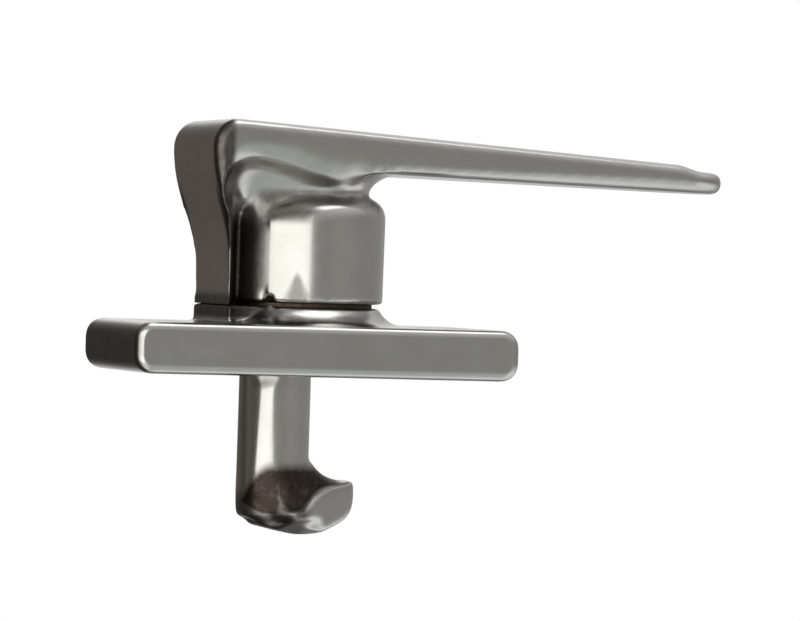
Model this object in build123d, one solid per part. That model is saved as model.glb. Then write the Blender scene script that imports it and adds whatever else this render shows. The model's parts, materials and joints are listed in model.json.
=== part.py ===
# Casement window cam handle: a cast lever that turns a hook through a thick base plate.
# The mounting face of the plate lies on Z = 0 and the turning axis is the Z axis.
# The lever and the hook's nose both point along +X, along the plate's long side.
from build123d import *
import math
import os

os.makedirs("parts", exist_ok=True)

# Base plate
plate_length = 54.4
plate_width = 28.0
plate_thickness = 7.0
plate_end_round = 2.4
plate_edge_round = 1.1
screw_spacing = 40.0
screw_hole_radius = 2.3
screw_head_radius = 4.3
screw_head_angle = 82.0

# Boss on the plate
boss_height = 2.4
boss_top_radius = 10.5
boss_foot_radius = 14.4
boss_left_reach = 13.1
boss_half_width = 10.8
pip_radius = 0.6
pip_stand = 0.3

# Spindle, washer, cross pin and their clearances
spindle_radius = 5.5
spindle_clearance = 0.05
end_float = 0.1
washer_thickness = 0.5
washer_recess = 0.9
washer_float = 0.05
washer_clearance = 0.1
recess_depth = 1.5
recess_clearance = 0.4
tang_side = 7.6
tang_length = 10.0
tang_top_gap = 0.5
tang_clearance = 0.05
pin_radius = 1.5
pin_bite = 2.3
pin_inset = 0.3
pin_clearance = 0.02
pin_chamfer = 0.3
pin_height = 5.2

# Drum-shaped hub, whose top dips towards the prow, and the flute on each side between drum and prow
hub_radius = 11.2
hub_height = 14.7
hub_left_reach = 13.0
flute_radius = 4.6
flute_reach = 9.2
flute_offset = 11.6
flute_height = 13.0
hub_crest_reach = 7.0
hub_dip = 2.4
hub_shoulder_round = 3.0
nick_radius = 0.9
nick_depth = 1.2
nick_angle = 132.0

# Prow, the full-width left end that carries the lever
prow_lean_reach = 13.75
prow_lean_rise = 9.85
prow_top_reach = 16.2
prow_brow_rise = 21.05
prow_crown_reach = 13.2
prow_edge_round = 0.9
prow_root_reach = 5.2

# Lever
lever_reach = 60.9
lever_top_rise = 23.95
lever_top_slope = 3.4
lever_bottom_rise = 18.1
lever_bottom_slope = 1.2
lever_taper_start = -6.0
lever_end_half_width = 6.4
lever_nose_thickness = 2.9
lever_step_lip = 0.3
lever_step_setback = 7.7
lever_step_run = 2.8
lever_edge_round = 1.3

# Neck between lever and hub: a round groove under the lever and a longer scoop on each side
neck_radius = 8.6
neck_flare_reach = 5.5
scoop_radius = 4.6
scoop_wall = 7.2
scoop_rise = 15.35
scoop_start = -10.2
scoop_length = 11.6
scoop_tilt = 13.0

# Hook under the plate
stem_radius = 4.95
stem_offset = 3.55
hook_depth = 22.2
heel_radius = 4.6
heel_rise = 2.0
heel_round = 3.4
sole_reach = 0.5
sole_round = 8.0
nose_reach = 8.1
nose_rise = 3.0
nose_round = 4.4
nose_height = 8.1
nose_plan_radius = 3.2
lip_round = 1.6
flank_offset = 2.0
flank_reach = 7.6
flank_radius = 1.2
bowl_radius = 14.0
throat_tube_radius = 5.1
throat_ring_radius = 9.3
throat_tilt = 30.0
throat_centre = -1.83
throat_centre_depth = 13.95

# Places and lengths that follow from the sizes above
boss_top = plate_thickness + boss_height
hub_bottom = boss_top + washer_thickness + washer_float
hub_top = hub_bottom + hub_height
pin_level = hub_bottom + pin_height
pin_length = hub_radius - pin_inset + tang_side / 2 + pin_bite
prow_lean_height = hub_bottom + prow_lean_rise
prow_brow_height = hub_bottom + prow_brow_rise
lever_top_at_axis = hub_bottom + lever_top_rise
lever_bottom_at_axis = hub_bottom + lever_bottom_rise
lever_step_start = lever_reach - lever_step_setback
lever_step_end = lever_step_start + lever_step_run
scoop_height = hub_bottom + scoop_rise


def falling(start_height, slope_degrees, reach):
    """Height at a reach along +X of a line that falls from start_height at the axis."""
    return start_height - reach * math.tan(math.radians(slope_degrees))


def upright(edges):
    """Closed outline in the XZ plane."""
    return make_face(Plane.XZ * (Curve() + edges))


def through(face):
    """Prism of an XZ outline, wider than any piece of the handle."""
    return extrude(face, plate_width, both=True)


# Base plate with its boss: a round boss on a hollow-curved foot, squared off under the prow
def make_base_plate():
    slab = Pos(0, 0, plate_thickness / 2) * Box(plate_length, plate_width, plate_thickness)
    ends = slab.edges().filter_by(Axis.Y)
    slab = fillet(ends, plate_end_round)
    sides = slab.faces().filter_by(Axis.Y).edges()
    slab = fillet(sides, plate_edge_round)

    foot = TangentArc((boss_foot_radius, plate_thickness), (boss_top_radius, boss_top), tangent=(-1, 0))
    walls = Polyline((boss_top_radius, boss_top), (0, boss_top), (0, 0), (boss_foot_radius, 0))
    rise = Line((boss_foot_radius, 0), (boss_foot_radius, plate_thickness))
    boss = revolve(upright([foot, walls, rise]), Axis.Z)
    block_length = boss_left_reach - prow_root_reach
    block_plan = Rectangle(block_length, 2 * boss_half_width, align=(Align.MAX, Align.CENTER))
    block = extrude(Pos(-prow_root_reach, 0) * block_plan, boss_top)
    block = fillet(block.edges().filter_by(Axis.Z).group_by(Axis.X)[0], prow_edge_round)
    for side in (-1, 1):
        block -= Pos(-flute_reach, side * flute_offset) * extrude(Circle(flute_radius), boss_top)
    inside = Pos(0, 0, plate_thickness / 2) * Box(
        plate_length / 2, plate_width - 2 * plate_edge_round, 2 * boss_top
    )
    boss = (boss + block) & inside
    boss -= Pos(0, 0, -plate_edge_round) * Box(plate_length, plate_width, 2 * plate_edge_round)

    plate = slab + boss
    plate -= extrude(Circle(spindle_radius + spindle_clearance), boss_top)
    plate -= extrude(Circle(stem_offset + stem_radius + recess_clearance), recess_depth)
    for side in (-1, 1):
        place = Pos(side * screw_spacing / 2, 0, plate_thickness)
        plate -= place * CounterSinkHole(
            screw_hole_radius, screw_head_radius, 2 * plate_thickness, screw_head_angle
        )
    pip_place = Pos(boss_top_radius - pip_radius / 2, 0, boss_top + pip_stand - pip_radius)
    pip = pip_place * Rot(90, 0, 0) * Sphere(pip_radius)
    return plate + Rot(0, 0, -nick_angle) * pip


# Lever with its prow, in side view and in plan; the plan's round end trims the nose
def lever_outline():
    beyond = lever_reach + lever_nose_thickness
    crown_height = falling(lever_top_at_axis, lever_top_slope, -prow_crown_reach)
    step_height = falling(lever_top_at_axis, lever_top_slope, lever_step_start)
    nose_bottom = falling(lever_bottom_at_axis, lever_bottom_slope, beyond)
    nose_top = nose_bottom + lever_nose_thickness
    root_height = falling(lever_bottom_at_axis, lever_bottom_slope, -prow_root_reach)
    prow = Spline(
        (-hub_left_reach, hub_bottom),
        (-prow_lean_reach, prow_lean_height),
        (-prow_top_reach, prow_brow_height),
        tangents=((0, 1), (0, 1)),
    )
    crown = TangentArc((-prow_top_reach, prow_brow_height), (-prow_crown_reach, crown_height), tangent=(0, 1))
    back = Polyline(
        (-prow_crown_reach, crown_height),
        (lever_step_start, step_height),
        (lever_step_end, nose_top + lever_step_lip),
        (beyond, nose_top),
        (beyond, nose_bottom),
        (-prow_root_reach, root_height),
        (-prow_root_reach, hub_bottom),
        (-hub_left_reach, hub_bottom),
    )
    return upright([prow, crown, back])


def lever_plan():
    start = -prow_top_reach - 1
    tip = lever_reach - lever_end_half_width
    sides = Polyline(
        (tip, lever_end_half_width),
        (lever_taper_start, hub_radius),
        (start, hub_radius),
        (start, -hub_radius),
        (lever_taper_start, -hub_radius),
        (tip, -lever_end_half_width),
    )
    end = ThreePointArc((tip, -lever_end_half_width), (lever_reach, 0), (tip, lever_end_half_width))
    return make_face(Curve() + [sides, end])


# Hub: a round drum whose bowed top falls towards the prow, with its shoulder rounded all the way round
def make_drum():
    fall_run = hub_radius + hub_crest_reach
    bow_radius = (fall_run**2 / hub_dip + hub_dip) / 2
    bow = Pos(hub_crest_reach, 0, hub_top - bow_radius) * Rot(90, 0, 0) * Cylinder(bow_radius, plate_width)
    drum = Pos(0, 0, hub_bottom) * extrude(Circle(hub_radius), hub_height) & bow
    shoulder = drum.faces().sort_by(Axis.Z)[-1].edges()
    return fillet(shoulder, hub_shoulder_round)


# Neck: a round post that flares in a hollow curve to the lever's underside
def make_neck():
    flare_height = lever_bottom_at_axis - hub_top
    flare_end = neck_radius + neck_flare_reach
    flare = EllipticalCenterArc((flare_end, hub_top), neck_flare_reach, flare_height, 90, arc_size=90)
    walls = Polyline(
        (neck_radius, hub_top),
        (neck_radius, hub_top - hub_dip),
        (0, hub_top - hub_dip),
        (0, lever_bottom_at_axis + lever_edge_round),
        (flare_end, lever_bottom_at_axis),
    )
    neck = revolve(upright([flare, walls]), Axis.Z)
    return neck & extrude(lever_plan(), 3 * hub_top)


# Scoop with round ends that falls away from the prow, one on each side between the prow and the neck
def make_scoop(side):
    slant = scoop_radius * math.sqrt(0.5)
    start = ThreePointArc((-scoop_radius, 0), (-slant, slant), (0, scoop_radius))
    rim = Line((0, scoop_radius), (scoop_length, scoop_radius))
    end = ThreePointArc(
        (scoop_length, scoop_radius), (scoop_length + slant, slant), (scoop_length + scoop_radius, 0)
    )
    axis = Line((scoop_length + scoop_radius, 0), (-scoop_radius, 0))
    scoop = revolve(make_face(Curve() + [start, rim, end, axis]), Axis.X)
    return Pos(scoop_start, side * (scoop_wall + scoop_radius), scoop_height) * Rot(0, scoop_tilt, 0) * scoop


# Lever and prow in one, with the long edges of their side walls rounded
def make_lever():
    lever = through(lever_outline()) & extrude(lever_plan(), 3 * hub_top)
    level = 0.01
    upright_faces = lever.faces().filter_by(lambda face: abs(face.normal_at().Z) < level)
    walls = upright_faces.filter_by(
        lambda face: abs(face.center().Y) > lever_edge_round or face.center().X > lever_step_start
    )
    boxes = [(edge, edge.bounding_box()) for edge in walls.edges()]
    rims = [edge for edge, box in boxes if box.size.X > level and box.max.Z > hub_top]
    return fillet(rims, lever_edge_round)


# Flute with a round top, which sets the prow apart from the drum on each side
def make_flute(side):
    flute = Cylinder(flute_radius, 2 * flute_height) + Pos(0, 0, flute_height) * Sphere(flute_radius)
    return Pos(-flute_reach, side * flute_offset, hub_bottom) * flute


# Handle: lever, prow, neck and drum cast in one, with a square socket and a blind pin hole
def make_handle():
    handle = make_lever() + make_neck()
    for side in (-1, 1):
        handle -= make_scoop(side)
        handle -= make_flute(side)
    handle += make_drum()
    socket_side = tang_side + 2 * tang_clearance
    socket_height = tang_length + tang_top_gap
    handle -= Pos(0, 0, hub_bottom + socket_height / 2) * Box(socket_side, socket_side, socket_height)
    pin_hole = Cylinder(
        pin_radius + pin_clearance, pin_length + pin_inset, align=(Align.CENTER, Align.CENTER, Align.MIN)
    )
    handle -= Pos(0, hub_radius, pin_level) * Rot(90, 0, 0) * pin_hole
    nick = Pos(hub_radius, 0, hub_bottom) * Rot(0, 90, 0) * Cylinder(nick_radius, 2 * nick_depth)
    return handle - Rot(0, 0, -nick_angle) * nick


# Foot of the hook: an arrow-shaped plan with the nose along +X, a bowed sole and a scooped throat
def foot_plan():
    heel = Pos(-stem_offset, 0) * Circle(heel_radius)
    nose = Pos(nose_reach - nose_plan_radius, 0) * Circle(nose_plan_radius)
    edges = heel.edges() + nose.edges()
    for side in (-1, 1):
        edges += (Pos(-flank_offset, side * (flank_reach - flank_radius)) * Circle(flank_radius)).edges()
    return make_hull(edges)


def sole_block():
    heel_reach = -stem_offset - stem_radius
    lip_height = nose_height - hook_depth
    lip_end = nose_reach - 2 * lip_round
    sole = FilletPolyline(
        (heel_reach, boss_top),
        (heel_reach, heel_rise - hook_depth),
        (sole_reach, -hook_depth),
        (nose_reach, nose_rise - hook_depth),
        (nose_reach, lip_height),
        (lip_end, lip_height),
        radius=[heel_round, sole_round, nose_round, lip_round],
    )
    closing = Polyline((lip_end, lip_height), (lip_end, boss_top), (heel_reach, boss_top))
    bowl = Pos(0, 0, bowl_radius - hook_depth) * Rot(0, 90, 0) * Cylinder(bowl_radius, plate_length)
    upper = extrude(Rectangle(plate_length, plate_width), bowl_radius - hook_depth)
    return through(upright([sole, closing])) & (bowl + upper)


def make_throat():
    everything_above = Cylinder(plate_length, plate_length, align=(Align.CENTER, Align.CENTER, Align.MIN))
    ring = Torus(throat_ring_radius, throat_tube_radius)
    return Pos(throat_centre, 0, -throat_centre_depth) * Rot(0, -throat_tilt, 0) * (everything_above + ring)


# Cam hook: spindle and square tang above, an eccentric stem and the foot below
def make_cam_hook():
    shoulder = recess_depth - end_float
    stem = extrude(Pos(-stem_offset, 0, shoulder) * Circle(stem_radius), -2 * hook_depth)
    foot = extrude(foot_plan(), -2 * hook_depth) - make_throat()
    hook = (stem + foot) & sole_block()
    hook += extrude(Pos(0, 0, shoulder) * Circle(spindle_radius), hub_bottom - shoulder)
    hook += extrude(Pos(0, 0, hub_bottom) * Rectangle(tang_side, tang_side), tang_length)
    pin_hole = Pos(0, 0, pin_level) * Rot(90, 0, 0) * Cylinder(pin_radius + pin_clearance, 2 * tang_side)
    return hook - pin_hole


def make_thrust_washer():
    ring = Circle(boss_top_radius - washer_recess) - Circle(spindle_radius + washer_clearance)
    return Pos(0, 0, boss_top) * extrude(ring, washer_thickness)


def make_cross_pin():
    pin = Cylinder(pin_radius, pin_length, align=(Align.CENTER, Align.CENTER, Align.MIN))
    pin = chamfer(pin.edges(), pin_chamfer)
    return Pos(0, hub_radius - pin_inset, pin_level) * Rot(90, 0, 0) * pin


export_step(make_base_plate(), "parts/base_plate.step")
export_step(make_handle(), "parts/handle.step")
export_step(make_cam_hook(), "parts/cam_hook.step")
export_step(make_thrust_washer(), "parts/thrust_washer.step")
export_step(make_cross_pin(), "parts/cross_pin.step")
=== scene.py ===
# %% [markdown]
# A casement window cam handle in satin cast metal: a lever on a scooped neck, a thick base plate, and a hook
# below it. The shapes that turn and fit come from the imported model. This script gives each casting the soft
# edges and the worn satin finish of the real one, and sets up the light and the camera.

# %% Load the fixed frame
import json
import math

import bmesh
import bpy
from mathutils import Matrix, Vector

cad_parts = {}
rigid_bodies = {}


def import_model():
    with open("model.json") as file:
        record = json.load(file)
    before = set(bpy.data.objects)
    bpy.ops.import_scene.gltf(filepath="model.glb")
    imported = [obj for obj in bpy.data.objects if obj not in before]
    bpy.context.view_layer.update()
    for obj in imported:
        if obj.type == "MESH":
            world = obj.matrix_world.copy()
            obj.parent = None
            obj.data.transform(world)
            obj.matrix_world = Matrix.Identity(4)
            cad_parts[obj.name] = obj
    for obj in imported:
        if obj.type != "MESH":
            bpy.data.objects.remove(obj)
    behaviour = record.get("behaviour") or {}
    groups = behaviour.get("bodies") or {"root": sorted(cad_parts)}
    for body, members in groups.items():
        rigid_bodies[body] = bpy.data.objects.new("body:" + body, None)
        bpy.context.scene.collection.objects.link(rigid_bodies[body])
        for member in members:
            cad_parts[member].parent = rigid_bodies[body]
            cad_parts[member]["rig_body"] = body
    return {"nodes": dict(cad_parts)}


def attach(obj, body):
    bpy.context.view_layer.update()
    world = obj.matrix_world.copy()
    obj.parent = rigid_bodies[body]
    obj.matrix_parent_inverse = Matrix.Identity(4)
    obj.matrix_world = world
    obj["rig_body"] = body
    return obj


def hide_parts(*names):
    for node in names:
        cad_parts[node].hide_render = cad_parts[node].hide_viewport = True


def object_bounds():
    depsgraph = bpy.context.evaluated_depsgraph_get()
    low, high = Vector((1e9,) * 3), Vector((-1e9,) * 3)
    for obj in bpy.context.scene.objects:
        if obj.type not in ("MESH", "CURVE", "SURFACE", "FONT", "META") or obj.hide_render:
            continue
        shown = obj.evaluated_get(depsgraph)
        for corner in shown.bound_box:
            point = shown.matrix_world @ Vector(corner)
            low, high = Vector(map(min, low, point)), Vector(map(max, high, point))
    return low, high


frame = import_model()
cad_low, cad_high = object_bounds()
millimetre = 0.001

# %% [markdown]
# The camera comes first, because every later choice is judged through it. The photograph was taken from
# slightly left of the lever's side, level with the handle, from far enough away that it shows little
# perspective. A long lens at 0.7 m gives that look. The camera's axes are worked out from its heading and
# its small roll, and it is aimed beside the hub, so that no lens shift is needed.

# %% Camera
camera_heading = math.radians(17.06)
camera_dip = math.radians(0.32)
camera_roll = math.radians(1.76)
camera_distance = 0.7
camera_lens = 228.7
sensor_width = 36
nearest_seen = 0.01
watched_point = Vector((0, 0, 0.012))
aim_right = 0.01342
aim_down = 0.00313

forward = Vector(
    (
        math.sin(camera_heading) * math.cos(camera_dip),
        math.cos(camera_heading) * math.cos(camera_dip),
        -math.sin(camera_dip),
    )
)
level_right = Vector((math.cos(camera_heading), -math.sin(camera_heading), 0))
level_up = level_right.cross(forward)
image_right = math.cos(camera_roll) * level_right + math.sin(camera_roll) * level_up
image_up = math.cos(camera_roll) * level_up - math.sin(camera_roll) * level_right

camera_place = watched_point - camera_distance * forward
aimed_point = watched_point + aim_right * image_right - aim_down * image_up
look = (aimed_point - camera_place).normalized()
side = look.cross(image_up).normalized()
camera_data = bpy.data.cameras.new("camera")
camera_data.lens = camera_lens
camera_data.sensor_width = sensor_width
camera_data.clip_start = nearest_seen
camera = bpy.data.objects.new("camera", camera_data)
axes = Matrix((side, side.cross(look), -look)).transposed().to_4x4()
camera.matrix_world = Matrix.Translation(camera_place) @ axes
bpy.context.scene.collection.objects.link(camera)
bpy.context.scene.camera = camera
print("camera at", [round(x, 3) for x in camera_place])

# %% [markdown]
# A material here is built from noises that read Object coordinates, so that a pattern is as large as it is
# on the real metal and stays on the piece as it turns. These helpers add one node each and join it up, which
# keeps the recipes below short.

# %% Node helpers


def new_material(name):
    """A material with its nodes and links, ready for a recipe."""
    material = bpy.data.materials.new(name)
    material.use_nodes = True
    return material, material.node_tree.nodes, material.node_tree.links


def object_noise(nodes, links, grain, detail=3.0, stretch=(1, 1, 1)):
    """Noise whose lumps are about as wide as grain, in metres."""
    place = nodes.new("ShaderNodeTexCoord")
    turn = nodes.new("ShaderNodeMapping")
    turn.inputs["Scale"].default_value = stretch
    noise = nodes.new("ShaderNodeTexNoise")
    noise.inputs["Scale"].default_value = 1 / grain
    noise.inputs["Detail"].default_value = detail
    links.new(place.outputs["Object"], turn.inputs["Vector"])
    links.new(turn.outputs["Vector"], noise.inputs["Vector"])
    return noise.outputs["Fac"]


def spread(nodes, links, source, low, high, to_low, to_high):
    """Maps a value from one range to another, and holds it inside."""
    node = nodes.new("ShaderNodeMapRange")
    node.inputs["From Min"].default_value = low
    node.inputs["From Max"].default_value = high
    node.inputs["To Min"].default_value = to_low
    node.inputs["To Max"].default_value = to_high
    links.new(source, node.inputs["Value"])
    return node.outputs["Result"]


def combine(nodes, links, operation, first, second):
    """Joins two values with a Math node, and holds the result between 0 and 1."""
    node = nodes.new("ShaderNodeMath")
    node.operation = operation
    node.use_clamp = True
    links.new(first, node.inputs[0])
    links.new(second, node.inputs[1])
    return node.outputs["Value"]


def blend_colours(nodes, links, share, first, second):
    """Mixes two colours, each a tuple or another node's output."""
    node = nodes.new("ShaderNodeMix")
    node.data_type = "RGBA"
    links.new(share, node.inputs["Factor"])
    for socket, colour in (("A", first), ("B", second)):
        ends = [s for s in node.inputs if s.name == socket and s.type == "RGBA"]
        if isinstance(colour, tuple):
            ends[0].default_value = (*colour, 1)
        else:
            links.new(colour, ends[0])
    return [s for s in node.outputs if s.type == "RGBA"][0]


def add_bump(nodes, links, height, depth, below=None):
    """A bump of that depth in metres, on top of another bump if one is given."""
    node = nodes.new("ShaderNodeBump")
    node.inputs["Distance"].default_value = depth
    links.new(height, node.inputs["Height"])
    if below is not None:
        links.new(below, node.inputs["Normal"])
    return node.outputs["Normal"]


print("node helpers ready")

# %% [markdown]
# The castings are a warm grey metal with a satin surface. Painted shade in dark brown lies in their hollows
# and on some shaded sides, and in places it also stands for grime. It could be drawn on an image, but a value
# for each point of the mesh needs no unwrapping. It is painted further down and broken up here by small
# blotches. An Ambient Occlusion node adds painted shade, and a little dirt with it, in every narrow hollow
# that wasn't painted.

# %% Painted shade and dirt of the castings
hollow_reach = 5 * millimetre
hollow_samples = 16
hollow_shade_and_dirt = 0.6
blotch_size = 0.9 * millimetre


def shade_and_dirt_of_casting(nodes, links, painted):
    """How much painted shade and dirt each place has, from 0 to 1."""
    hollow = nodes.new("ShaderNodeAmbientOcclusion")
    hollow.samples = hollow_samples
    hollow.inputs["Distance"].default_value = hollow_reach
    # Painted shade in every narrow hollow, from the Ambient Occlusion node, which also stands for a little
    # dirt.
    crevice_shade = spread(nodes, links, hollow.outputs["AO"], 0.1, 0.45, hollow_shade_and_dirt, 0)
    noise = object_noise(nodes, links, blotch_size, 4)
    blotches = spread(nodes, links, noise, 0.3, 0.7, 0.93, 1.07)
    return combine(nodes, links, "MAXIMUM", crevice_shade, combine(nodes, links, "MULTIPLY", painted, blotches))


print("dirt recipe ready")

# %% [markdown]
# The metal's colour has broad faint clouds, as a worn plating has. Its roughness wanders a little and rises
# where the painted shade and dirt lie. Three bumps lie on each other: the slow ripple of a polished casting, a
# fine grain that makes the highlights end in specks, and a crust under the painted shade and grime.

# %% Satin cast metal
casting_colour = (0.455, 0.45, 0.432)
cloud_colour = (0.435, 0.427, 0.408)
# The dark brown of the painted shade, which in places also stands for grime.
shade_and_grime_colour = (0.042, 0.033, 0.028)
cloud_size = 5 * millimetre
polish_size = 1.4 * millimetre
smoothest = 0.19
roughest = 0.23
shaded_and_dirty_roughness = 0.42
ripple_size = 3.5 * millimetre
ripple_depth = 0.013 * millimetre
grain_size = 0.28 * millimetre
grain_depth = 0.0018 * millimetre
crust_size = 0.8 * millimetre
crust_depth = 0.05 * millimetre


def satin_casting(name):
    """The material that the three castings share."""
    material, nodes, links = new_material(name)
    metal = nodes["Principled BSDF"]
    metal.inputs["Metallic"].default_value = 1.0
    # Reads the painted shade and grime that each point of the mesh carries.
    attribute = nodes.new("ShaderNodeAttribute")
    attribute.attribute_name = "shade_and_grime"
    painted = attribute.outputs["Fac"]
    shade_and_dirt = shade_and_dirt_of_casting(nodes, links, painted)

    clouds = spread(nodes, links, object_noise(nodes, links, cloud_size), 0.38, 0.66, 0, 1)
    tone = blend_colours(nodes, links, clouds, casting_colour, cloud_colour)
    # Blends in the dark brown painted shade, which in places also stands for grime.
    links.new(blend_colours(nodes, links, shade_and_dirt, tone, shade_and_grime_colour), metal.inputs["Base Color"])

    patches = object_noise(nodes, links, polish_size, 4)
    dulled = nodes.new("ShaderNodeMix")
    dulled.inputs["B"].default_value = shaded_and_dirty_roughness
    links.new(shade_and_dirt, dulled.inputs["Factor"])
    links.new(spread(nodes, links, patches, 0.3, 0.7, smoothest, roughest), dulled.inputs["A"])
    links.new(dulled.outputs["Result"], metal.inputs["Roughness"])

    ripple = add_bump(nodes, links, object_noise(nodes, links, ripple_size, 1), ripple_depth)
    grain = add_bump(nodes, links, object_noise(nodes, links, grain_size, 2), grain_depth, ripple)
    lumps = object_noise(nodes, links, crust_size, 3)
    crust = combine(nodes, links, "MULTIPLY", lumps, painted)
    links.new(add_bump(nodes, links, crust, crust_depth, grain), metal.inputs["Normal"])
    return material


casting = satin_casting("cast_metal")
print("made", casting.name)

# %% [markdown]
# Two small parts barely show: a bronze thrust washer in the gap under the hub, and the end of the steel
# cross pin in its hole. Their shapes are exact already, so they keep the imported mesh and only take a finish:
# a dark bronze made darker still to carry the painted shade of the gap, and ground steel with fine rings round
# the pin.

# %% Washer and pin
scratch_depth = 0.01 * millimetre


def plain_metal(name, colour, shade, smooth, rough, grain, stretch=(1, 1, 1)):
    """A metal whose one noise mixes two tones and sets its roughness and its scratches."""
    material, nodes, links = new_material(name)
    metal = nodes["Principled BSDF"]
    metal.inputs["Metallic"].default_value = 1.0
    clouds = object_noise(nodes, links, grain, 3, stretch)
    links.new(blend_colours(nodes, links, clouds, colour, shade), metal.inputs["Base Color"])
    links.new(spread(nodes, links, clouds, 0.3, 0.7, smooth, rough), metal.inputs["Roughness"])
    links.new(add_bump(nodes, links, clouds, scratch_depth), metal.inputs["Normal"])
    return material


# The washer's bronze is made darker still, as painted shade for the gap under the hub.
gap_shade_bronze = plain_metal(
    "bronze_darkened_for_gap_shade",
    colour=(0.12, 0.09, 0.065),
    shade=(0.06, 0.045, 0.035),
    smooth=0.45,
    rough=0.7,
    grain=0.6 * millimetre,
)
ground_steel = plain_metal(
    "ground_steel",
    colour=(0.55, 0.55, 0.54),
    shade=(0.4, 0.4, 0.39),
    smooth=0.2,
    rough=0.35,
    grain=0.3 * millimetre,
    stretch=(1, 8, 1),
)
for node, material, slot in (
    ("thrust_washer", gap_shade_bronze, "bronze_washer"),
    ("cross_pin", ground_steel, "steel_pin"),
):
    piece = frame["nodes"][node]
    piece.data.materials.clear()
    piece.data.materials.append(material)
    print(node, "takes", material.name)

# %% [markdown]
# Cast and polished metal has no sharp edge anywhere, and its corners melt into each other. Bevels would have
# to be set edge by edge, and they fail on loose triangles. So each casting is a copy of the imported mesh,
# merged, rebuilt as a fine even net of voxels, and then smoothed a few times: the broad faces stay where
# they are, and every edge and inner corner gains a small soft radius.

# %% Soft-edged copies of the castings
merge_reach = 0.001 * millimetre
relax_share = 0.5


def merged_copy(node, name):
    """A new object with the node's mesh, its doubled points merged."""
    net = bmesh.new()
    net.from_mesh(frame["nodes"][node].data)
    bmesh.ops.remove_doubles(net, verts=net.verts, dist=merge_reach)
    mesh = bpy.data.meshes.new(name)
    net.to_mesh(mesh)
    net.free()
    piece = bpy.data.objects.new(name, mesh)
    bpy.context.scene.collection.objects.link(piece)
    return piece


def voxel_net(piece, voxel):
    """Rebuilds a piece's mesh as an even net."""
    remesh = piece.modifiers.new("net", "REMESH")
    remesh.mode = "VOXEL"
    remesh.voxel_size = voxel
    seen = piece.evaluated_get(bpy.context.evaluated_depsgraph_get())
    fine = bpy.data.meshes.new_from_object(seen)
    piece.modifiers.clear()
    piece.data = fine
    fine.name = piece.name


def relax(net, points, rounds):
    """Draws the points towards their neighbours, a little more with every round."""
    for _ in range(rounds):
        bmesh.ops.smooth_vert(
            net, verts=points, factor=relax_share, use_axis_x=True, use_axis_y=True, use_axis_z=True
        )


def smooth_net(piece, rounds):
    """Rounds every edge of a piece, and shades its faces smoothly."""
    net = bmesh.new()
    net.from_mesh(piece.data)
    relax(net, net.verts, rounds)
    for face in net.faces:
        face.smooth = True
    net.to_mesh(piece.data)
    net.free()


def soft_casting(node, name, voxel, shape, shade_and_grime):
    """A casting's own mesh in place of the node's: rebuilt, shaped and painted."""
    piece = merged_copy(node, name)
    voxel_net(piece, voxel)
    shape(piece)
    paint_shade_and_grime(piece, shade_and_grime)
    piece.data.materials.clear()
    piece.data.materials.append(casting)
    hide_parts(node)
    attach(piece, frame["nodes"][node]["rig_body"])
    piece.data.calc_loop_triangles()
    print(name, "has", len(piece.data.loop_triangles), "triangles")


print("casting helpers ready")

# %% [markdown]
# Some forms are softer or deeper than a plain edge radius can give, so they are pushed like clay: a function
# takes a point in millimetres and gives its new place, and a second net evens out what was stretched. The
# same idea lays down the painted shade and grime, as a value from 0 to 1 on each point, which the material
# reads by name. In all these functions, ease goes from 0 to 1 between two places, so a product of a few of
# them marks out a region with soft borders.

# %% Pushing and painting helpers


def ease(low, high, value):
    """0 at low, 1 at high and an even curve between; low may be the larger."""
    share = min(max((value - low) / (high - low), 0), 1)
    return share * share * (3 - 2 * share)


def push(piece, move):
    """Moves every point of a piece by a function of its place in millimetres."""
    for vertex in piece.data.vertices:
        vertex.co = Vector(move(*(vertex.co / millimetre))) * millimetre


def soften(piece, low, high, rounds):
    """Smooths only the points inside a box in millimetres, the same on both sides of the handle."""
    net = bmesh.new()
    net.from_mesh(piece.data)
    chosen = []
    for vertex in net.verts:
        x, y, z = vertex.co / millimetre
        if all(a < v < b for a, v, b in zip(low, (x, abs(y), z), high)):
            chosen.append(vertex)
    relax(net, chosen, rounds)
    net.to_mesh(piece.data)
    net.free()


def paint_shade_and_grime(piece, amount):
    """Stores the painted shade and grime of each point, by a function of its place in millimetres."""
    layer = piece.data.attributes.new("shade_and_grime", "FLOAT", "POINT")
    for vertex, value in zip(piece.data.vertices, layer.data):
        value.value = min(max(amount(*(vertex.co / millimetre)), 0), 1)


print("shaping helpers ready")

# %% [markdown]
# The handle's front end, its prow, is as wide as the lever, and a flute on each side parts it from the round
# drum. The flutes are deeper than they look: the drum's side can be followed far in behind the prow's edge,
# which keeps that side dark. The push sinks each flute's wall to whichever lies further out, the drum's round
# or a hollow curve that climbs from the flute's floor to its mouth, and it leaves the prow a lip.

# %% Handle: flutes
drum_radius = 11.2
flute_front = -7.5
flute_back = -14.2
flute_floor = 4.0
flute_root = -10.9
flute_mouth = 9.3
flute_run = 2.3
flute_curve = 1.3
flute_top = 20.5
flute_end = 25.5
lip_place = -13.2
lip_shift = 0.6
lip_width = 0.7


def deepen_flutes(x, y, z):
    """Sinks the flutes' walls, between the prow's lip and the drum, towards the middle of the handle."""
    if not flute_back < x < flute_front:
        return x, y, z
    lip = lip_place - lip_shift * ease(20, 25, z)
    drum_side = math.sqrt(max(drum_radius**2 - x**2, 0))
    climb = max((flute_root - x) / flute_run, 0) ** flute_curve
    wall = max(drum_side, flute_floor + (flute_mouth - flute_floor) * climb)
    spare = max(abs(y) - wall, 0) * ease(flute_end, flute_top, z) * ease(lip, lip + lip_width, x)
    return x, math.copysign(abs(y) - spare, y), z


print("flutes between", flute_back, "and", flute_front, "mm")

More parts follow.
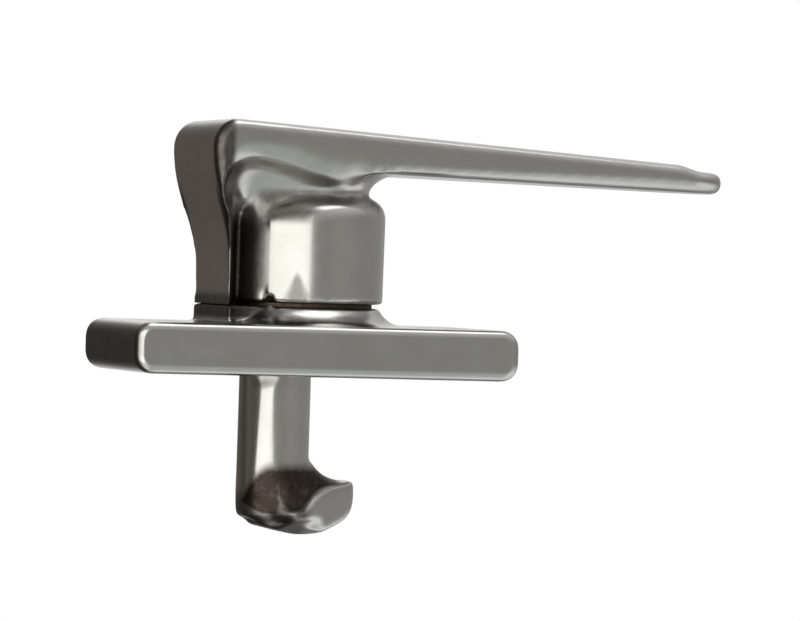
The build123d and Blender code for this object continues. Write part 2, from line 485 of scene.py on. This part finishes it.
# %% [markdown]
# On the real handle no light shows under the prow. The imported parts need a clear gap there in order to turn,
# so only the drawn prow comes down, outside the drum's circle, until it nearly meets the boss. Smoothing
# draws that edge up again, and a second push at the end presses it flat.

# %% Handle: underside of the prow
prow_drop = 0.47
prow_underside = 9.47


def close_prow_gap(x, y, z):
    """Lowers the underside of the prow, outside the drum's circle, until it nearly meets the boss."""
    outside = ease(11.4, 12.0, math.hypot(x, y))
    return x, y, z - prow_drop * outside * ease(11.5, 10.0, z)


def settle_prow(x, y, z):
    """Presses the prow's underside flat again where smoothing has drawn it up."""
    share = ease(11.5, 11.9, math.hypot(x, y)) * ease(10.3, 9.9, z) * ease(9.4, 8.8, abs(y))
    return x, y, z + (prow_underside - z) * share


print("prow comes down by", prow_drop, "mm")

# %% [markdown]
# The lever's side carries a light band along its lower edge, which grows broader towards the tip. It comes
# from the side leaning inwards there, so the lean starts low at the hub and climbs along the lever.

# %% Handle: lower edge of the lever
lever_top = (33.9, 0.0594)
lever_bottom = (28.05, 0.0209)
lever_half_width = (10.7, 0.0793)
lean_start = 8
lean_end = 58
lean_share = 0.12
lean_growth = 0.3
lean_slope = 0.3


def lever_line(line, x):
    """The height or width that falls evenly along the lever, from its value at the axis."""
    at_axis, fall = line
    return at_axis - fall * x


def lean_lower_edge(x, y, z):
    """Leans the lever's sides inwards below a line that climbs towards the tip."""
    if x < lean_start:
        return x, y, z
    bottom = lever_line(lever_bottom, x)
    height = lever_line(lever_top, x) - bottom
    share = lean_share + lean_growth * ease(lean_start, lean_end, x)
    depth = max(share * height - (z - bottom), 0) * lean_slope * ease(lean_start, lean_start + 8, x)
    return x, y * (1 - depth / lever_line(lever_half_width, x)), z


print("lever leans from", lean_start, "mm")

# %% [markdown]
# Now the handle's shape in order: the pushes, the second net, and the smoothing. The scoops above the drum
# have melted rims, and so have the prow's lips, so these places are smoothed for longer than the rest.

# %% Handle: shape
handle_voxel = 0.26 * millimetre
edge_rounds = 8
scoop = ((-14, 4.5, 23.5), (6.5, 11.6, 31.2), 150)
scoop_border = ((-14.5, 4.5, 21), (8, 11.6, 32), 20)
flute = ((-14.5, 2, 10.4), (-7.5, 12, 22), 40)
lip_of_prow = ((-14.5, 7, 10.6), (-12, 12, 25), 16)


def shape_handle(piece):
    """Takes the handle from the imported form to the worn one."""
    for move in (deepen_flutes, close_prow_gap, lean_lower_edge):
        push(piece, move)
    voxel_net(piece, handle_voxel)
    smooth_net(piece, edge_rounds)
    for low, high, rounds in (scoop, scoop_border, flute, lip_of_prow):
        soften(piece, low, high, rounds)
    push(piece, settle_prow)


print("handle net of", handle_voxel / millimetre, "mm")

# %% [markdown]
# Painted shade lies deep in the flutes, where it also stands for dirt, on the drum's lid under the lever,
# along the prow's upright edges and lips, where it keeps their rounds from catching the light, and at the
# prow's foot over the boss. A painted dark reflection, a brown wedge, runs up the drum from its lower rim, and
# a faint darkening covers the lever. Each region below is a product of soft borders, and the darkest one wins.
# region below is a product of soft borders, and the dirtiest one wins.

# %% Handle: painted shade and dirt
wedge_turn = 111
wedge_top = 14.6
wedge_widening = 2.6


def flute_shade_and_dirt(x, y, z):
    """Painted shade, which also stands for dirt: full at the flute's root and half on the drum's side."""
    strength = 0.5 + 0.5 * ease(-9.4, -10.4, x)
    return strength * ease(-12.9, -12.3, x) * ease(-7.5, -9.5, x) * ease(24.5, 20, z)


def lid_shade(x, y, z):
    """Painted shade on the drum's lid under the lever, which reaches further out on the prow's side."""
    reach = 10.8 + 1.4 * ease(0, -4, x)
    on_lid = ease(reach, reach - 1.2, math.hypot(x, y)) * ease(20.3, 21.6, z)
    return 0.68 * on_lid * ease(26, 24.3, z) * ease(6, 2, x)


def wedge_reflection(x, y, z):
    """A painted dark reflection: a pointed patch on the drum's side, widest at its foot, in degrees round the
    drum.
    """
    away = abs(math.degrees(math.atan2(abs(y), x)) - wedge_turn)
    half_width = max(wedge_widening * (wedge_top - z), 0.1)
    return 0.6 * ease(wedge_top, 13, z) * ease(1.15, 0.3, away / half_width)


def handle_shade_and_dirt(x, y, z):
    """The darkest of the handle's painted regions at a point."""
    # Painted shade on the prow's lips, its upright edges and its foot over the boss; a faint darkening of the
    # lever.
    lip = 0.95 * ease(8.0, 8.8, abs(y)) * ease(-11.5, -12.3, x) * ease(27, 23, z)
    edge = 0.85 * ease(9.4, 10.3, abs(y)) * ease(-12.9, -13.9, x)
    foot = 0.8 * ease(11.6, 10.3, z) * ease(-9, -12, x)
    lever = 0.09 * ease(24, 27, z)
    regions = flute_shade_and_dirt(x, y, z), lid_shade(x, y, z), wedge_reflection(x, y, z)
    return max(lip, edge, foot, lever, *regions)


soft_casting("handle", "cast_handle", handle_voxel, shape_handle, handle_shade_and_dirt)

# %% [markdown]
# The plate is the plainest piece: a slab with a boss. Its left end is mottled and dark, partly from its pitted
# metal and partly from painted shade on the side turned from the light, and painted shade lies on the boss
# under the prow. The boss's squared side rises by a hair to meet the prow.

# %% Plate
plate_voxel = 0.28 * millimetre
plate_rounds = 4
block_rise = 0.06


def plate_shade_and_grime(x, y, z):
    """Painted shade and dark pitted metal over the plate's left end, and painted shade on the boss under the
    prow.
    """
    left_end = 0.88 * ease(-26.2, -27.2, x)
    under_prow = 0.9 * ease(-6, -8.5, x) * ease(7.3, 8.0, z)
    return max(left_end, under_prow)


def raise_block(x, y, z):
    """Lifts the middle of the boss's squared side by a hair, so that no light shows under the prow."""
    return x, y, z + block_rise * ease(-11, -11.6, x) * ease(8.5, 7, abs(y)) * ease(9.2, 9.35, z)


def shape_plate(piece):
    """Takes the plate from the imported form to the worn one."""
    smooth_net(piece, plate_rounds)
    push(piece, raise_block)


soft_casting("base_plate", "cast_plate", plate_voxel, shape_plate, plate_shade_and_grime)

# %% [markdown]
# The hook's stem does not simply stand on its foot: it flows out to the foot's arrow-shaped rim in a hollow
# curve, which starts higher on the nose's side. The rim is drawn here as a distance from the stem's axis by
# angle: a straight flank from the heel to the corner, then a straight flank to the nose. The hollow curve is
# a quarter of an ellipse between the stem and that rim. Below the rim the foot narrows like a boat.

# %% Hook: rim of the foot
stem_axis = -3.55
corner_angle = 78.5
heel_flank = {"distance": 4.6, "facing": 135.3, "most": 7.7}
nose_flank = {"distance": 7.5, "facing": 59.5, "most": 11.6}
rim_level = -18.6
rim_level_heel = -17.0
flow_top = -11.8
flow_top_heel = -16.6


def round_stem(x, y):
    """A point's distance from the stem's axis, and its angle from the nose in degrees."""
    return math.hypot(x - stem_axis, y), math.degrees(math.atan2(abs(y), x - stem_axis))


def flow_heights(angle):
    """Where the hollow curve starts and where the rim lies, at an angle from the nose."""
    heelward = ease(110, 175, angle)
    top = flow_top + (flow_top_heel - flow_top) * heelward
    level = rim_level + (rim_level_heel - rim_level) * heelward
    return top, level


def rim_reach(angle):
    """The rim's distance from the stem's axis at an angle from the nose, in degrees."""
    flank = heel_flank if angle > corner_angle else nose_flank
    turn = angle - flank["facing"]
    if angle > corner_angle:
        turn = min(turn, 0)
    return min(flank["distance"] / max(math.cos(math.radians(turn)), 0.3), flank["most"])


print("rim reaches", round(rim_reach(corner_angle), 2), "mm at its corner")

# %% [markdown]
# Two pushes use that rim. The first swells the stem out to it. The second raises a soft worn ridge on each
# side of the stem, which turns towards the heel on its way down and bends the stem's highlight.

# %% Hook: flow and ridge
stem_round = 4.95
stem_core = 3.5
flow_edge = 38
flow_full = 60
flank_bottom = -19.7
flank_lean = 0.075
ridge_height = 0.28
ridge_spread = 20
ridge_place = 117
ridge_turn = 1.2


def flow_into_foot(x, y, z):
    """Swells the stem's lower end out to the rim in a hollow curve."""
    reach, angle = round_stem(x, y)
    top, level = flow_heights(angle)
    if z > top or angle < flow_edge or reach < stem_core:
        return x, y, z
    rim = rim_reach(angle)
    lean = 1 - flank_lean * max(level - z, 0)
    share = min((top - z) / (top - level), 1)
    if z < flank_bottom:
        wanted = reach * lean
    elif z < level:
        wanted = max(reach, rim * lean)
    else:
        wanted = max(reach, stem_round + (rim - stem_round) * (1 - math.sqrt(1 - share**2)))
    grow = 1 + (wanted / reach - 1) * ease(flow_edge, flow_full, angle)
    return stem_axis + (x - stem_axis) * grow, y * grow, z


def wear_ridge(x, y, z):
    """Raises a soft ridge on each side of the stem, which turns towards the heel on its way down."""
    reach, angle = round_stem(x, y)
    if z > -0.3 or reach < 4:
        return x, y, z
    away = (angle - (ridge_place - ridge_turn * z)) / ridge_spread
    grow = 1 + ridge_height * math.exp(-away * away) * ease(-0.3, -2, z) * ease(-19, -15, z) / reach
    return stem_axis + (x - stem_axis) * grow, y * grow, z


print("stem flows from", stem_round, "mm")

# %% [markdown]
# The hook is shaped like the handle, on a finer net because its rim is small. Its painted shade, which also
# stands for grime, fills the throat, from where the stem begins to flow out down to the rim, and darkens the
# heel.

# %% Hook: shape and painted shade
hook_voxel = 0.22 * millimetre
foot_box = ((-9, 0, -22.5), (8, 9, -10.5), 10)


def shape_hook(piece):
    """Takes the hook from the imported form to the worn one."""
    push(piece, flow_into_foot)
    push(piece, wear_ridge)
    voxel_net(piece, hook_voxel)
    smooth_net(piece, edge_rounds)
    soften(piece, *foot_box)


def hook_shade_and_grime(x, y, z):
    """Painted shade, which also stands for grime, in the throat down to the rim, and on the heel."""
    reach, angle = round_stem(x, y)
    top, level = flow_heights(angle)
    rim = rim_reach(angle)
    above_rim = max(ease(80, 100, angle), ease(rim - 0.1, rim - 1.0, reach))
    throat = ease(top + 0.3, top - 1.6, z) * ease(level - 0.9, level - 0.2, z) * ease(6.5, 4.5, x)
    # Painted shade on the heel, which faces down and away from the light.
    heel = 0.7 * ease(-15, -17.5, z) * ease(0.6, -1.0, x)
    return max(throat * above_rim, heel)


soft_casting("cam_hook", "cast_hook", hook_voxel, shape_hook, hook_shade_and_grime)

# %% [markdown]
# The real handle was photographed in a dim room with a window a little to the left of the lens. Polished
# metal is mostly a mirror, so its tones come from what stands round it. The world below is that room, as a
# function of direction. Three strips go once round it: one at the level of the eye, one of the ground and
# one of the ceiling. A stop is written as a heading from the camera, in degrees to its right, and a colour.

# %% Room colours by heading
backdrop_white = (1.0, 1.0, 1.0)
level_stops = [
    (-180, (1.0, 1.0, 1.0)),
    (-172, (1.0, 1.0, 1.0)),
    (-165, (0.16, 0.14, 0.13)),
    (-130, (0.14, 0.125, 0.115)),
    (-110, (0.08, 0.07, 0.063)),
    (-98, (0.2, 0.18, 0.16)),
    (-80, (0.14, 0.125, 0.11)),
    (-62, (0.2, 0.18, 0.16)),
    (-55, (0.3, 0.29, 0.28)),
    (12, (0.4, 0.4, 0.39)),
    (34, (0.41, 0.41, 0.395)),
    (50, (0.46, 0.46, 0.44)),
    (90, (0.4, 0.4, 0.39)),
    (165, (0.4, 0.4, 0.39)),
    (172, (1.0, 1.0, 1.0)),
]
ground_stops = [
    (-180, (0.3, 0.3, 0.29)),
    (-150, (0.06, 0.052, 0.046)),
    (-60, (0.06, 0.052, 0.046)),
    (-35, (0.4, 0.4, 0.4)),
    (-15, (1.25, 1.27, 1.3)),
    (8, (1.25, 1.27, 1.3)),
    (26, (0.66, 0.71, 0.67)),
    (44, (0.7, 0.74, 0.7)),
    (66, (1.3, 1.32, 1.36)),
    (120, (1.3, 1.32, 1.36)),
    (150, (0.45, 0.45, 0.44)),
    (180, (0.3, 0.3, 0.29)),
]
ceiling_stops = [
    (-180, (1.2, 1.2, 1.2)),
    (-150, (0.2, 0.19, 0.18)),
    (-80, (0.2, 0.19, 0.18)),
    (-30, (0.6, 0.59, 0.58)),
    (45, (0.8, 0.8, 0.81)),
    (110, (1.0, 1.0, 1.0)),
    (180, (1.2, 1.2, 1.2)),
]
print("stops", len(level_stops), len(ground_stops), len(ceiling_stops))

# %% [markdown]
# The world's nodes need the heading of each direction. Turning the direction first, by the camera's heading
# and a quarter turn, puts the way to the camera in the middle of the strips and their two ends behind the
# handle, where the seam is hidden.

# %% World direction
world = bpy.data.worlds.new("room")
bpy.context.scene.world = world
world.use_nodes = True
nodes, links = world.node_tree.nodes, world.node_tree.links
background = nodes["Background"]
heading = nodes.new("ShaderNodeTexCoord")
turned = nodes.new("ShaderNodeVectorRotate")
turned.rotation_type = "Z_AXIS"
turned.inputs["Angle"].default_value = camera_heading + math.pi / 2
parts = nodes.new("ShaderNodeSeparateXYZ")
angle = nodes.new("ShaderNodeMath")
angle.operation = "ARCTAN2"
links.new(heading.outputs["Generated"], turned.inputs["Vector"])
links.new(turned.outputs["Vector"], parts.inputs["Vector"])
links.new(parts.outputs["Y"], angle.inputs[0])
links.new(parts.outputs["X"], angle.inputs[1])
around = spread(nodes, links, angle.outputs["Value"], -math.pi, math.pi, 0, 1)
print("world direction ready")

# %% [markdown]
# A Color Ramp holds each strip. The height of the direction then mixes the ground below and the ceiling
# above into the strip at eye level. Light Path sends the finished room to mirror-like and scattered rays,
# and plain white to the camera and to rays that pass straight through.

# %% Room strips joined


def strip_of_room(stops):
    """A ramp round the horizon, from stops of (degrees to the camera's right, colour)."""
    ramp = nodes.new("ShaderNodeValToRGB")
    elements = ramp.color_ramp.elements
    for degrees, colour in stops[1:-1]:
        elements.new(0.5 + degrees / 360).color = (*colour, 1)
    elements[0].color = (*stops[0][1], 1)
    elements[len(elements) - 1].color = (*stops[-1][1], 1)
    links.new(around, ramp.inputs["Fac"])
    return ramp.outputs["Color"]


sink = spread(nodes, links, parts.outputs["Z"], -0.08, -0.4, 0, 1)
climb = spread(nodes, links, parts.outputs["Z"], 0.2, 0.75, 0, 1)
room = blend_colours(nodes, links, sink, strip_of_room(level_stops), strip_of_room(ground_stops))
room = blend_colours(nodes, links, climb, room, strip_of_room(ceiling_stops))
path = nodes.new("ShaderNodeLightPath")
straight_on = path.outputs["Is Transmission Ray"]
sees_backdrop = combine(nodes, links, "MAXIMUM", path.outputs["Is Camera Ray"], straight_on)
links.new(blend_colours(nodes, links, sees_backdrop, room, backdrop_white), background.inputs["Color"])
print("the room is set")

# %% [markdown]
# Two soft lamps do the modelling. The first is the window: tall, wide, behind the camera and a little to its
# left, which draws one broad white stripe down the drum and the stem. The second is small and hangs high on
# the right, close to the handle, and lights the tops of the rounded edges. Each lamp's power is worked out
# from its area, so that a mirror would show it at the stated brightness, whatever its size.

# %% Lamps


def soft_lamp(name, heading_degrees, height, distance, width, tall, brightness, colour=(1, 1, 1)):
    """A lamp that faces the hub, seen from it at a heading measured from the camera's, rightwards."""
    turn = math.radians(heading_degrees)
    toward = -math.cos(turn) * Vector((forward.x, forward.y, 0)).normalized() + math.sin(turn) * level_right
    place = watched_point + distance * toward + Vector((0, 0, height))
    data = bpy.data.lights.new(name, "AREA")
    data.shape = "RECTANGLE"
    data.size = width
    data.size_y = tall
    data.energy = brightness * math.pi * width * tall
    data.color = colour
    lamp = bpy.data.objects.new(name, data)
    lamp.location = place
    lamp.rotation_mode = "QUATERNION"
    lamp.rotation_quaternion = (watched_point - place).to_track_quat("-Z", "Y")
    lamp.visible_camera = False
    bpy.context.scene.collection.objects.link(lamp)
    print(name, "at", [round(x, 2) for x in place], "power", round(data.energy, 1))


soft_lamp(
    "window_lamp",
    heading_degrees=-21,
    height=0.1,
    distance=1.2,
    width=1.5,
    tall=1.3,
    brightness=1.9,
    colour=(1, 0.985, 0.955),
)
soft_lamp("overhead_lamp", heading_degrees=62, height=1.0, distance=0.25, width=0.6, tall=0.6, brightness=2.0)

# %% [markdown]
# The floor is plain and nearly white. It lies a little way under the hook, because the handle belongs on a
# window frame and doesn't stand. It could be lit until it is as pale as the backdrop, but that would wash
# out the metal. So part of its colour is its own light, for camera rays alone: a share that is smaller near
# the handle, where its soft shadow must show, and grows to the whole farther off. The metal's reflections
# leave the floor out, because they show the room's ground strip instead.

# %% Floor
floor_drop = 0.045
floor_reach = 3.0
floor_colour = (0.88, 0.88, 0.87, 1)
floor_roughness = 0.9
shadow_reach = 0.12
backdrop_reach = 0.4
least_glow = 0.6

net = bmesh.new()
bmesh.ops.create_grid(net, x_segments=1, y_segments=1, size=floor_reach)
bmesh.ops.translate(net, verts=net.verts, vec=(0, 0, cad_low.z - floor_drop))
mesh = bpy.data.meshes.new("floor")
net.to_mesh(mesh)
net.free()
floor = bpy.data.objects.new("floor", mesh)
bpy.context.scene.collection.objects.link(floor)

paper, nodes, links = new_material("floor_paper")
matt = nodes["Principled BSDF"]
matt.inputs["Base Color"].default_value = floor_colour
matt.inputs["Roughness"].default_value = floor_roughness
glow = nodes.new("ShaderNodeEmission")
own_light = nodes.new("ShaderNodeMixShader")
sight = nodes.new("ShaderNodeLightPath")
place = nodes.new("ShaderNodeTexCoord")
distance = nodes.new("ShaderNodeVectorMath")
distance.operation = "LENGTH"
links.new(place.outputs["Object"], distance.inputs[0])
farness = spread(nodes, links, distance.outputs["Value"], shadow_reach, backdrop_reach, least_glow, 1)
glow_share = combine(nodes, links, "MULTIPLY", sight.outputs["Is Camera Ray"], farness)
links.new(glow_share, own_light.inputs["Fac"])
links.new(matt.outputs["BSDF"], own_light.inputs[1])
links.new(glow.outputs["Emission"], own_light.inputs[2])
links.new(own_light.outputs["Shader"], nodes["Material Output"].inputs["Surface"])
floor.data.materials.append(paper)
floor.visible_glossy = False
print("floor at", round(cad_low.z - floor_drop, 4))

# %% [markdown]
# Last come the plain view settings.

# %% View settings
bpy.context.scene.view_settings.view_transform = "Standard"
